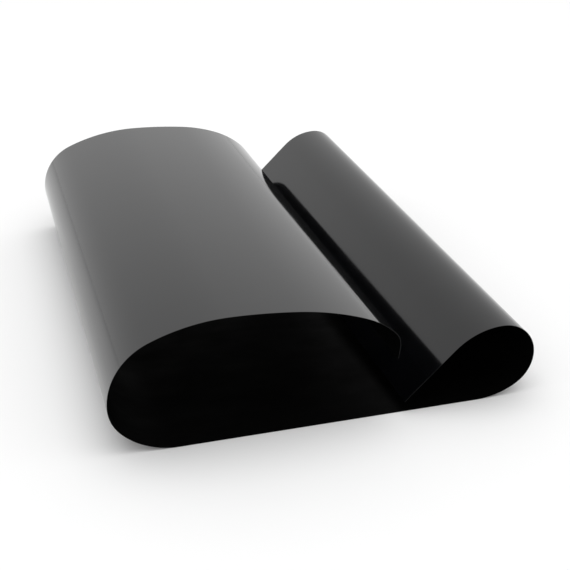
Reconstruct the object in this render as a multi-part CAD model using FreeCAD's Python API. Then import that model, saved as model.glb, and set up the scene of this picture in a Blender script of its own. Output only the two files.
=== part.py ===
"""A cut sheet of glossy sign vinyl that lies film side out, with both ends curled up and over.

The sheet is a laminate of three layers: a face film, a coat of adhesive and a release liner. A large,
flattened curl rises on the left and a smaller one, which is looser at the rear, on the right.

A sheet that isn't stretched bends only about straight lines. So every bend turns as far at the rear edge
as at the front edge, though its radius may differ, and its faces are straight from edge to edge.

The laminate bends; a rigid model can't. So every layer is divided along the crest line of each curl, and
the part beyond the crest, the lip, turns about that line as the curled end does when it is lifted.

Millimetres. +Z is up, +Y runs along the curls from the front edge to the rear edge, and the origin is the
centre of the sheet's footprint on the surface that it lies on.
"""

import FreeCAD, Part
import math
import os

# the sheet
SHEET_WIDTH = 304.8         # 12 in, along the curls
SHEET_LENGTH = 527.0        # 20.75 in, developed, from the large curl's free edge to the small curl's
LARGE_END_LENGTH = 232.0    # of that, from the large curl's free edge to where it meets the flat in front
FILM_THICKNESS = 0.08
ADHESIVE_THICKNESS = 0.03
LINER_THICKNESS = 0.14
HINGE_GAP = 0.3             # between the bed and a lip, along the sheet

# where each curl leaves the surface, (front, rear), from the line where the large one does in front
LARGE_LIFT = (0.0, -2.9)
SMALL_LIFT = (157.3, 140.8)

# the bends of each curl: (degrees turned, radius of the outer face in front, the same at the rear)
LARGE_CLIMB = [
    (46.0, 38.0, 31.5),     # foot
    (44.0, 22.0, 27.0),     # side, up to the vertical
    (67.0, 34.6, 31.4),     # shoulder
    (23.0, 100.5, 116.5),   # rise, up to the crest
]
LARGE_FALL = [
    (6.7, 292.0, 300.0),    # past the crest
    (14.7, 138.0, 99.0),    # slope
    (24.0, 46.0, 57.0),     # shoulder beside the small curl
    (50.0, 8.5, 8.8),       # fold, a little past the vertical
]
LARGE_EDGE_TURN = 5.0       # a last bend, down to the free edge
SMALL_CLIMB = [
    (31.5, 41.3, 44.0),     # foot
    (58.5, 19.6, 35.2),     # side, up to the vertical
    (90.0, 18.8, 16.3),     # crown, up to the crest
]
SMALL_FALL = (44.0, 36.9, 30.8)

# a bend is walked in equal steps, as many in front as at the rear, so that all layers divide alike
STEP_TURN = 12.5
STEP_LENGTH = 30.0

FRONT = 0
REAR = 1
EDGE_Y = (-SHEET_WIDTH / 2, SHEET_WIDTH / 2)
TO_THE_LEFT = math.pi
TO_THE_RIGHT = 0.0
CLOCKWISE = -1
ANTICLOCKWISE = 1


def reach(climb):
    """How far a curl reaches past the line where it lifts: its foot and side turn it to the vertical."""
    (foot_turn, foot_radius, _), (_, side_radius, _) = climb[:2]
    lean = math.sin(math.radians(foot_turn))
    return foot_radius * lean + side_radius * (1.0 - lean)


ORIGIN_X = (SMALL_LIFT[FRONT] + reach(SMALL_CLIMB) - reach(LARGE_CLIMB)) / 2


def point(xz, edge):
    return FreeCAD.Vector(xz[0] - ORIGIN_X, EDGE_Y[edge], xz[1])


def bend_length(bend, edge):
    return math.radians(bend[0]) * bend[1 + edge]


def total_length(bends, edge):
    return sum(bend_length(bend, edge) for bend in bends)


class Outline:
    """The sheet's outer face at its front or rear edge, walked from a line on the surface.

    A station is (x, z, heading), with the heading in radians from +X towards +Z."""

    def __init__(self, x, heading, turn, edge):
        self.station = (x, 0.0, heading)
        self.turn = turn
        self.edge = edge
        self.steps = []

    def inward(self, station, depth):
        """The point at a depth below the outer face, on the side that the curl turns to."""
        x, z, heading = station
        side = heading + self.turn * math.pi / 2
        return (x + depth * math.cos(side), z + depth * math.sin(side))

    def on_arc(self, centre, radius, heading):
        """The point of an arc about a centre where the outer face has a heading."""
        side = heading + self.turn * math.pi / 2
        return (centre[0] - radius * math.cos(side), centre[1] - radius * math.sin(side))

    def arc(self, degrees, radius):
        start = self.station
        centre = self.inward(start, radius)
        middle = start[2] + self.turn * math.radians(degrees) / 2
        end = start[2] + self.turn * math.radians(degrees)
        self.station = (*self.on_arc(centre, radius, end), end)
        self.steps.append({"start": start, "end": self.station, "arc": (centre, radius, middle)})

    def bend(self, bend):
        degrees, *radii = bend
        longest = math.radians(degrees) * max(radii)
        count = math.ceil(max(degrees / STEP_TURN, longest / STEP_LENGTH))
        for _ in range(count):
            self.arc(degrees / count, radii[self.edge])

    def straight(self, length):
        x, z, heading = self.station
        start = self.station
        self.station = (x + length * math.cos(heading), z + length * math.sin(heading), heading)
        self.steps.append({"start": start, "end": self.station, "arc": None})

    def climb(self, bends, gap):
        """The bends up to a crest, stopped a gap before it."""
        degrees, front_radius, rear_radius = bends[-1]
        less = degrees - math.degrees(gap / front_radius)
        for bend in bends[:-1] + [(less, front_radius, rear_radius)]:
            self.bend(bend)

    def forget(self):
        """Start the outline from here, and drop what was walked before."""
        self.steps = []

    def edges(self, depth):
        """The edges of the face at a depth below the outer one."""
        made = []
        for step in self.steps:
            first = point(self.inward(step["start"], depth), self.edge)
            last = point(self.inward(step["end"], depth), self.edge)
            if step["arc"] is None:
                made.append(Part.LineSegment(first, last).toShape())
            else:
                centre, radius, middle = step["arc"]
                half_way = point(self.on_arc(centre, radius - depth, middle), self.edge)
                made.append(Part.Arc(first, half_way, last).toShape())
        return made


def bed_outlines(edge):
    """The bed, from crest to crest: the large curl's climb, and the flat with the small curl's climb."""
    left = Outline(LARGE_LIFT[edge], TO_THE_LEFT, CLOCKWISE, edge)
    left.climb(LARGE_CLIMB, HINGE_GAP)
    right = Outline(LARGE_LIFT[edge], TO_THE_RIGHT, ANTICLOCKWISE, edge)
    right.straight(SMALL_LIFT[edge] - LARGE_LIFT[edge])
    right.climb(SMALL_CLIMB, HINGE_GAP)
    return [left, right]


def large_edge_bend():
    """The last bend's radii, from what is left of the sheet's length."""
    radii = []
    for edge in (FRONT, REAR):
        used = total_length(LARGE_CLIMB + LARGE_FALL, edge) - LARGE_LIFT[edge]
        radii.append((LARGE_END_LENGTH - used) / math.radians(LARGE_EDGE_TURN))
    return (LARGE_EDGE_TURN, *radii)


def large_lip_outlines(edge):
    lip = Outline(LARGE_LIFT[edge], TO_THE_LEFT, CLOCKWISE, edge)
    lip.climb(LARGE_CLIMB, 0.0)
    lip.forget()
    for bend in LARGE_FALL + [large_edge_bend()]:
        lip.bend(bend)
    return [lip]


def small_lip_outlines(edge):
    lip = Outline(SMALL_LIFT[edge], TO_THE_RIGHT, ANTICLOCKWISE, edge)
    lip.climb(SMALL_CLIMB, 0.0)
    lip.forget()
    lip.bend(SMALL_FALL)
    used = LARGE_END_LENGTH + SMALL_LIFT[edge] + total_length(SMALL_CLIMB + [SMALL_FALL], edge)
    lip.straight(SHEET_LENGTH - used)
    return [lip]


def section(outlines, outer, inner):
    """The closed loop of edges of one layer, between two depths below the outer face.

    Two outlines start at the same point of the surface and run apart, so the first is taken backwards."""
    def face(depth):
        runs = [outline.edges(depth) for outline in outlines]
        if len(runs) == 2:
            runs[0].reverse()
        return [edge for run in runs for edge in run]

    def across(outline, station):
        ends = [point(outline.inward(station, depth), outline.edge) for depth in (outer, inner)]
        return Part.LineSegment(*ends).toShape()

    first = outlines[0]
    last = outlines[-1]
    start = first.steps[0]["start"] if first is last else first.steps[-1]["end"]
    end = last.steps[-1]["end"]
    inner_face = list(reversed(face(inner)))
    return face(outer) + [across(last, end)] + inner_face + [across(first, start)]


def straight_across(front, rear):
    """The face with straight rulings from a front edge to the rear edge that matches it."""
    if isinstance(front.Curve, Part.Line):
        corners = [front.firstVertex(), front.lastVertex(), rear.lastVertex(), rear.firstVertex()]
        points = [corner.Point for corner in corners]
        return Part.Face(Part.makePolygon(points + points[:1]))
    return Part.makeRuledSurface(front, rear)


def layer(outlines, outer, inner):
    """One layer of one body, from the sheet's front edge to its rear edge."""
    front = section(outlines(FRONT), outer, inner)
    rear = section(outlines(REAR), outer, inner)
    faces = [straight_across(*pair) for pair in zip(front, rear)]
    faces += [Part.Face(Part.Wire(front)), Part.Face(Part.Wire(rear))]
    shell = Part.makeShell(faces)
    shell.sewShape()
    solid = Part.Solid(shell)
    if solid.Volume < 0:
        solid.reverse()
    return solid


def crest_line(outlines):
    """The line that a lip turns about, on its outer face, from front to rear."""
    ends = [point(outlines(edge)[0].steps[0]["start"], edge) for edge in (FRONT, REAR)]
    return ends[0], (ends[1] - ends[0]).normalize()


BODIES = {"bed": bed_outlines, "large_lip": large_lip_outlines, "small_lip": small_lip_outlines}
LAYERS = {
    "face_film": (0.0, FILM_THICKNESS),
    "adhesive": (FILM_THICKNESS, FILM_THICKNESS + ADHESIVE_THICKNESS),
    "release_liner": (
        FILM_THICKNESS + ADHESIVE_THICKNESS,
        FILM_THICKNESS + ADHESIVE_THICKNESS + LINER_THICKNESS,
    ),
}


def main():
    os.makedirs("parts", exist_ok=True)
    for body, outlines in BODIES.items():
        for name, (outer, inner) in LAYERS.items():
            solid = layer(outlines, outer, inner)
            node = name + "_" + body
            solid.exportStep("parts/" + node + ".step")
            print(node, "valid", solid.isValid(), "volume mm3", round(solid.Volume, 1))
    for body in ("large_lip", "small_lip"):
        start, direction = crest_line(BODIES[body])
        print(body, "turns about", tuple(start), tuple(direction))
    print("large curl's last bend", large_edge_bend())


main()
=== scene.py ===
"""The looks of a cut sheet of glossy sign vinyl that lies film side out, with both ends curled up and over.

The sheet is a laminate of a face film, a coat of adhesive and a release liner. Each layer is shown as three
pieces: the large curl, the flat and the small curl. They meet on lines of the flat that neither joint moves.

A sheet that isn't stretched bends only about straight lines, so each layer is a strip of straight rulings
from the front edge to the rear edge, and the sheet turns as far at the rear edge as at the front edge.

Metres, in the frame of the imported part: +Z is up and +Y runs along the curls, from front to rear.
"""

import math

import bpy
import numpy as np
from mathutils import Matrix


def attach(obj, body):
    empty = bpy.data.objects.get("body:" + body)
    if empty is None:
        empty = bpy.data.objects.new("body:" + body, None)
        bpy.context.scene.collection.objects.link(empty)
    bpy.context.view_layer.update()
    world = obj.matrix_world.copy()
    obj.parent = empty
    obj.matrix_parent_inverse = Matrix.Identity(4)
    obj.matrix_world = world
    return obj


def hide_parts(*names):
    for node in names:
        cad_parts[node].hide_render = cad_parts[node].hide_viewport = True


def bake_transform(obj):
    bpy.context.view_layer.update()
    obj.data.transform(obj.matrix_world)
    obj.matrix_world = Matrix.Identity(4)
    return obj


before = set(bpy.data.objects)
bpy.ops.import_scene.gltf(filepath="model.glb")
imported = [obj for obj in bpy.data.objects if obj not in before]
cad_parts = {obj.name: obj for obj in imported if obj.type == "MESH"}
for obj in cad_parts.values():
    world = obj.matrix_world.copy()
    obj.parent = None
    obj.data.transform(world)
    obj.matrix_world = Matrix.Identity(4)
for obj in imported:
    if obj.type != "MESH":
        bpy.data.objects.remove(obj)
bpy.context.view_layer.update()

MM = 0.001

# the sheet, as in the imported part
SHEET_WIDTH = 304.8 * MM
SHEET_LENGTH = 527.0 * MM
LARGE_END_LENGTH = 232.0 * MM       # from the large curl's free edge to where it meets the flat in front
LAYERS = {                          # the depths of each layer's two faces below the outer face
    "face_film": (0.0, 0.08 * MM),
    "adhesive": (0.08 * MM, 0.11 * MM),
    "release_liner": (0.11 * MM, 0.25 * MM),
}

# where each curl leaves the surface, (front, rear), from the line where the large one does in front
LARGE_LIFT = (0.0, -2.9 * MM)
SMALL_LIFT = (157.3 * MM, 140.8 * MM)

# the bends: (degrees turned, radius of the outer face in front, the same at the rear)
LARGE_CLIMB = [
    (46.0, 38.0 * MM, 31.5 * MM),       # foot
    (44.0, 22.0 * MM, 27.0 * MM),       # side, up to the vertical
    (67.0, 34.6 * MM, 31.4 * MM),       # shoulder
    (23.0, 100.5 * MM, 116.5 * MM),     # rise, up to the crest
]
LARGE_FALL = [
    (6.7, 292.0 * MM, 300.0 * MM),      # past the crest
    (14.7, 138.0 * MM, 99.0 * MM),      # slope
    (24.0, 46.0 * MM, 57.0 * MM),       # shoulder beside the small curl
    (50.0, 8.5 * MM, 8.8 * MM),         # fold, a little past the vertical
]
LARGE_EDGE_TURN = 5.0                   # a last bend, down to the free edge
SMALL_CLIMB = [
    (31.5, 41.3 * MM, 44.0 * MM),       # foot
    (58.5, 19.6 * MM, 35.2 * MM),       # side, up to the vertical
    (90.0, 18.8 * MM, 16.3 * MM),       # crown, up to the crest
]
SMALL_FALL = (44.0, 36.9 * MM, 30.8 * MM)

# the film doesn't change its curvature at once, so every change is spread over this length of the sheet
EASE_LENGTH = 8.0 * MM
STATION_STEP = 1.25 * MM            # between the rulings
FINE_STEPS = 10                     # steps of the walk along the sheet, from one ruling to the next
COLUMNS = 16                        # faces from the front edge to the rear edge
SHARP_ANGLE = math.radians(40.0)    # edges that turn more than this, such as the cut edges, stay crisp
SEAMS_ON_FLAT = (0.12, 0.94)        # where the pieces of a layer meet, as shares of the flat's length

NOISE_MIDDLE = (0.3, 0.7)           # most of a noise texture's values lie between these
SURROUND = 0.95                     # strength of the white surround
SURROUND_MIRRORED_TWICE = 0.1       # the same for light that the film has mirrored twice
FLOOR_HALF_WIDTH = 6.0
FLOOR_DROP = 0.1 * MM               # keeps the floor clear of the film that lies on it

EDGE_Y = (-SHEET_WIDTH / 2, SHEET_WIDTH / 2)
FRONT = 0
REAR = 1


def bend_run(bend):
    """A bend as (radians turned, length in front, length at the rear)."""
    turn = math.radians(bend[0])
    return (turn, turn * bend[1], turn * bend[2])


def sheet_runs():
    """The sheet from the large curl's free edge to the small curl's, as runs of constant curvature.

    A run is (radians turned, length in front, length at the rear). The flat's place among them follows."""
    large = [bend_run(bend) for bend in LARGE_FALL[::-1] + LARGE_CLIMB[::-1]]
    small = [bend_run(bend) for bend in SMALL_CLIMB + [SMALL_FALL]]
    free_edge = [math.radians(LARGE_EDGE_TURN)]
    flat = [0.0]
    tail = [0.0]
    for edge in (FRONT, REAR):
        used = sum(run[1 + edge] for run in large) - LARGE_LIFT[edge]
        free_edge.append(LARGE_END_LENGTH - used)
        flat.append(SMALL_LIFT[edge] - LARGE_LIFT[edge])
        used = LARGE_END_LENGTH + SMALL_LIFT[edge] + sum(run[1 + edge] for run in small)
        tail.append(SHEET_LENGTH - used)
    return np.array([free_edge] + large + [flat] + small + [tail]), 1 + len(large)


def sums_so_far(values):
    """The sum of the values before each one, and at the end the sum of all."""
    return np.concatenate([[0.0], np.cumsum(values)])


def eased(values, step):
    """Values along the sheet, with each change spread evenly over half the easing length, twice."""
    half_count = int(round(EASE_LENGTH / 2 / step)) // 2
    even_spread = np.ones(2 * half_count + 1)
    window = np.convolve(even_spread, even_spread)
    return np.convolve(values, window / window.sum(), mode="same")


def reach(climb):
    """How far a curl reaches past the line where it lifts: its foot and side turn it to the vertical."""
    (foot_turn, foot_radius, _), (_, side_radius, _) = climb[:2]
    lean = math.sin(math.radians(foot_turn))
    return foot_radius * lean + side_radius * (1.0 - lean)


class Profile:
    """The outer face at the front and rear edges, at stations spaced evenly along the sheet."""

    def __init__(self):
        runs, flat = sheet_runs()
        spans = runs[:, 1:].mean(axis=1)
        ends = sums_so_far(spans)
        count = int(round(ends[-1] / STATION_STEP))
        step = ends[-1] / count / FINE_STEPS

        # the walk starts and stops a margin beyond the free edges, so that easing has values all round
        margin = int(EASE_LENGTH / step) + 1
        fine = (np.arange(-margin, FINE_STEPS * count + margin) + 0.5) * step
        run = np.clip(np.searchsorted(ends, fine) - 1, 0, len(spans) - 1)
        turning = eased(runs[run, 0] / spans[run], step)[margin:-margin]
        heading = sums_so_far(turning * step)
        middle_of_flat = int(round((ends[flat] + ends[flat + 1]) / 2 / step))
        heading -= heading[middle_of_flat]
        between = (heading[1:] + heading[:-1]) / 2
        self.heading = heading[::FINE_STEPS]
        seams = [ends[flat] + share * spans[flat] for share in SEAMS_ON_FLAT]
        self.seams = [int(round(seam / step / FINE_STEPS)) for seam in seams]

        origin_x = (SMALL_LIFT[FRONT] + reach(SMALL_CLIMB) - reach(LARGE_CLIMB)) / 2
        self.travelled = []
        self.points = []
        for edge in (FRONT, REAR):
            # how far this edge goes for each metre along the sheet's middle
            speed = eased(runs[run, 1 + edge] / spans[run], step)[margin:-margin]
            x = sums_so_far(speed * step * np.cos(between))
            z = sums_so_far(speed * step * np.sin(between))
            middle_x = (LARGE_LIFT[edge] + SMALL_LIFT[edge]) / 2 - origin_x
            x += middle_x - x[middle_of_flat]
            z -= z[middle_of_flat]
            self.travelled.append(sums_so_far(speed * step)[::FINE_STEPS])
            self.points.append(np.stack([x, np.full_like(x, EDGE_Y[edge]), z], axis=1)[::FINE_STEPS])

    def face(self, depth, stations):
        """Points of the face at a depth below the outer one, as an array of stations by columns."""
        heading = self.heading[stations]
        inward = np.stack([-np.sin(heading), np.zeros_like(heading), np.cos(heading)], axis=1)
        front, rear = (self.points[edge][stations] + depth * inward for edge in (FRONT, REAR))
        across = np.linspace(0.0, 1.0, COLUMNS + 1)[None, :, None]
        return front[:, None, :] * (1.0 - across) + rear[:, None, :] * across

    def flat_place(self, stations):
        """Where those points are on the sheet when it lies flat: (across, along), in metres."""
        across = np.linspace(0.0, 1.0, COLUMNS + 1)[None, :]
        front, rear = (self.travelled[edge][stations][:, None] for edge in (FRONT, REAR))
        along = front * (1.0 - across) + rear * across
        return np.stack([np.broadcast_to(across * SHEET_WIDTH, along.shape), along], axis=2)


def layer_piece(name, profile, stations, depths, material):
    """One layer of one stretch of the sheet: two faces, closed by a narrow wall all round."""
    outer, inner = (profile.face(depth, stations) for depth in depths)
    rows, columns = outer.shape[:2]
    place = profile.flat_place(stations).reshape(-1, 2)
    points = np.concatenate([outer.reshape(-1, 3), inner.reshape(-1, 3)])
    index = np.arange(rows * columns).reshape(rows, columns)
    quads = [index[:-1, :-1], index[:-1, 1:], index[1:, 1:], index[1:, :-1]]
    outer_faces = np.stack(quads, axis=2).reshape(-1, 4)
    inner_faces = outer_faces[:, ::-1] + rows * columns
    rim = np.concatenate([index[0, :], index[1:, -1], index[-1, -2::-1], index[-2:0:-1, 0]])
    following = np.roll(rim, -1)
    walls = np.stack([following, rim, rim + rows * columns, following + rows * columns], axis=1)
    faces = np.concatenate([outer_faces, inner_faces, walls])

    mesh = bpy.data.meshes.new(name)
    mesh.from_pydata(points.tolist(), [], faces.tolist())
    places = np.concatenate([place, place])
    corners = np.empty(len(mesh.loops), dtype=np.int32)
    mesh.loops.foreach_get("vertex_index", corners)
    uv_layer = mesh.uv_layers.new(name="flat_sheet")
    uv_layer.data.foreach_set("uv", places[corners].astype(np.float32).ravel())
    mesh.polygons.foreach_set("use_smooth", np.ones(len(faces), dtype=bool))
    mesh.set_sharp_from_angle(angle=SHARP_ANGLE)
    mesh.materials.append(material)
    piece = bpy.data.objects.new(name, mesh)
    bpy.context.scene.collection.objects.link(piece)
    return piece


class Nodes:
    """A material's node tree, with short calls to add nodes and link them."""

    def __init__(self, name):
        self.material = bpy.data.materials.new(name)
        self.material.use_nodes = True
        self.tree = self.material.node_tree
        self.shader = self.tree.nodes["Principled BSDF"]

    def add(self, kind, **inputs):
        """A new node of a kind, with the values of some of its inputs."""
        node = self.tree.nodes.new("ShaderNode" + kind)
        for name, value in inputs.items():
            node.inputs[name].default_value = value
        return node

    def link(self, output, socket):
        self.tree.links.new(output, socket)

    def noise(self, per_metre, detail=2.0):
        """Noise on the flat sheet, with so many grains to the metre across it, along it and through it."""
        uv = self.add("UVMap")
        uv.uv_map = "flat_sheet"
        mapping = self.add("Mapping", Scale=per_metre)
        self.link(uv.outputs["UV"], mapping.inputs["Vector"])
        node = self.add("TexNoise", Scale=1.0, Detail=detail)
        self.link(mapping.outputs["Vector"], node.inputs["Vector"])
        return node.outputs["Fac"]

    def roughness(self, source, low, high):
        """The roughness, taken from low to high over a noise's middle range."""
        node = self.add("MapRange")
        node.inputs["From Min"].default_value, node.inputs["From Max"].default_value = NOISE_MIDDLE
        node.inputs["To Min"].default_value = low
        node.inputs["To Max"].default_value = high
        self.link(source, node.inputs["Value"])
        self.link(node.outputs["Result"], self.shader.inputs["Roughness"])

    def colours(self, source, low, high):
        """The base colour, taken from one colour to another over a noise's middle range."""
        ramp = self.add("ValToRGB")
        for element, position, colour in zip(ramp.color_ramp.elements, NOISE_MIDDLE, (low, high)):
            element.position = position
            element.color = (*colour, 1.0)
        self.link(source, ramp.inputs["Fac"])
        self.link(ramp.outputs["Color"], self.shader.inputs["Base Color"])

    def bump(self, source, height):
        """Bumps of a height in metres."""
        node = self.add("Bump", Strength=1.0, Distance=height)
        self.link(source, node.inputs["Height"])
        self.link(node.outputs["Normal"], self.shader.inputs["Normal"])


def gloss_film_material():
    """Glossy black calendered film, with the faint unevenness of its surface."""
    nodes = Nodes("gloss_film")
    nodes.shader.inputs["IOR"].default_value = 1.5
    nodes.colours(nodes.noise((60.0, 8.0, 1.0)), (0.0008, 0.0009, 0.0012), (0.0018, 0.0019, 0.0025))
    nodes.roughness(nodes.noise((25.0, 9.0, 1.0), 4.0), 0.06, 0.11)
    nodes.bump(nodes.noise((700.0, 500.0, 1.0), 3.0), 0.0006 * MM)
    return nodes.material


def adhesive_material():
    """Dark pressure-sensitive adhesive, seen only at the cut edges."""
    nodes = Nodes("adhesive")
    nodes.colours(nodes.noise((900.0, 900.0, 1.0)), (0.003, 0.003, 0.003), (0.008, 0.008, 0.0075))
    nodes.roughness(nodes.noise((400.0, 400.0, 1.0)), 0.40, 0.65)
    nodes.shader.inputs["Specular IOR Level"].default_value = 0.2
    nodes.bump(nodes.noise((1200.0, 1200.0, 1.0)), 0.01 * MM)
    return nodes.material


def liner_with_painted_shade_material():
    """Black release paper, with the grain of its fibres along the sheet.

    It mirrors very little. Its colour and shine are set far darker than real black paper, as painted shade,
    so that the insides of the curls stay black."""
    nodes = Nodes("liner")
    # painted shade: a colour near zero, darker than real black paper, keeps the shaded insides of the curls
    # black
    nodes.colours(nodes.noise((900.0, 260.0, 1.0), 5.0), (0.0004, 0.0004, 0.0004), (0.0012, 0.0012, 0.0012))
    nodes.roughness(nodes.noise((60.0, 30.0, 1.0), 4.0), 0.55, 0.75)
    # painted shade: far less shine than real paper has, so the insides of the curls mirror no light
    nodes.shader.inputs["Specular IOR Level"].default_value = 0.03
    nodes.bump(nodes.noise((2500.0, 700.0, 1.0), 4.0), 0.008 * MM)
    return nodes.material


def floor_material():
    nodes = Nodes("floor")
    nodes.shader.inputs["Base Color"].default_value = (0.85, 0.85, 0.85, 1.0)
    nodes.shader.inputs["Roughness"].default_value = 0.9
    return nodes.material


def make_sheet():
    """The three pieces of each layer, which take the place of the imported parts; the flat moves with the
    bed, and the curls stay where they are built."""
    materials = {
        "face_film": (gloss_film_material(), "gloss_film"),
        "adhesive": (adhesive_material(), "adhesive"),
        "release_liner": (liner_with_painted_shade_material(), "liner"),
    }
    profile = Profile()
    ends = [0] + profile.seams + [len(profile.heading) - 1]
    for layer, depths in LAYERS.items():
        material, slot = materials[layer]
        pieces = []
        for part, first, last in zip(("large_curl", "flat", "small_curl"), ends[:-1], ends[1:]):
            piece = layer_piece(layer + "_" + part, profile, np.arange(first, last + 1), depths, material)
            pieces.append(piece)
        large_curl, flat, small_curl = pieces
        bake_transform(large_curl)
        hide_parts(layer + "_large_lip")
        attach(flat, "bed")
        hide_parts(layer + "_bed")
        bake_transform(small_curl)
        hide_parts(layer + "_small_lip")


def make_floor():
    sides = [(-1, -1), (1, -1), (1, 1), (-1, 1)]
    corners = [(x * FLOOR_HALF_WIDTH, y * FLOOR_HALF_WIDTH, 0.0) for x, y in sides]
    mesh = bpy.data.meshes.new("floor")
    mesh.from_pydata(corners, [], [(0, 1, 2, 3)])
    mesh.materials.append(floor_material())
    floor = bpy.data.objects.new("floor", mesh)
    floor.location = (0.0, 0.0, -FLOOR_DROP)
    bpy.context.scene.collection.objects.link(floor)


def make_studio():
    """An even white surround and a wide soft light overhead.

    Light that is mirrored twice in the film arrives nearly crossed in polarisation, and is mostly lost.
    Cycles doesn't know this, so the surround is dimmer for it."""
    scene = bpy.context.scene
    world = bpy.data.worlds.new("studio")
    world.use_nodes = True
    tree = world.node_tree
    background = tree.nodes["Background"]
    background.inputs["Color"].default_value = (1.0, 1.0, 1.0, 1.0)
    path = tree.nodes.new("ShaderNodeLightPath")
    strength = tree.nodes.new("ShaderNodeMapRange")
    strength.inputs["From Min"].default_value = 1.0
    strength.inputs["From Max"].default_value = 2.0
    strength.inputs["To Min"].default_value = SURROUND
    strength.inputs["To Max"].default_value = SURROUND_MIRRORED_TWICE
    tree.links.new(path.outputs["Glossy Depth"], strength.inputs["Value"])
    tree.links.new(strength.outputs["Result"], background.inputs["Strength"])
    scene.world = world
    lamp = bpy.data.lights.new("overhead", "AREA")
    lamp.shape = "SQUARE"
    lamp.size = 2.4
    lamp.energy = 19.0
    overhead = bpy.data.objects.new("overhead", lamp)
    overhead.location = (0.0, 0.0, 2.2)
    scene.collection.objects.link(overhead)
    scene.view_settings.view_transform = "Standard"


def make_camera():
    data = bpy.data.cameras.new("camera")
    data.lens = 70.90
    data.sensor_width = 36.0
    data.clip_start = 0.01
    camera = bpy.data.objects.new("camera", data)
    camera.location = (-0.1572, -0.6079, 0.3041)
    camera.rotation_euler = (math.radians(64.711), 0.0, math.radians(-16.306))
    bpy.context.scene.collection.objects.link(camera)
    bpy.context.scene.camera = camera


make_sheet()
make_floor()
make_studio()
make_camera()
